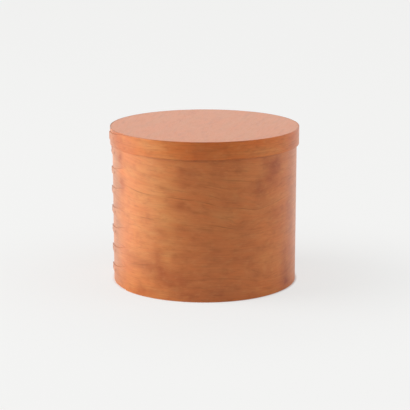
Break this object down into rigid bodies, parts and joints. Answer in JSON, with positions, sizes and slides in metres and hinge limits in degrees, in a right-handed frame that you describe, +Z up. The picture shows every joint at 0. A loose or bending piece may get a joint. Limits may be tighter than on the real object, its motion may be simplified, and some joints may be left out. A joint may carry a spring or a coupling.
{
  "type": "bentwood pantry box",
  "caption": "Tall round bentwood box with a lift-off lid, its thin wooden bands lapped in a row of long tapered fingers and tacked, for dry goods and small things.",
  "frame": {"origin": "middle of the flat underside, on the axis of the box", "axes": "+Z up along the axis of the box, -Y to the front, so the lapped fingers are on the -X side"},
  "size_m": [0.2412, 0.2408, 0.2],
  "materials": {
    "cherry_band": "oiled satin cherry, grain along the strip",
    "cherry_board": "oiled satin cherry, straight grain across the board",
    "peg_wood": "end grain trimmed flush",
    "copper": "hammered copper, dulled"
  },
  "bodies": {
    "box": {"side_band": "cherry_band", "side_tip_tacks": "copper", "side_root_tacks": "copper", "bottom_board": "cherry_board", "bottom_pegs": "peg_wood"},
    "lid": {"lid_band": "cherry_band", "lid_tacks": "copper", "lid_board": "cherry_board", "lid_pegs": "peg_wood"}
  },
  "joints": [
    {"name": "lid_lift", "type": "slide", "parent": "box", "child": "lid", "axis": [0, 0, 1], "range_m": [0, 0.12]}
  ]
}
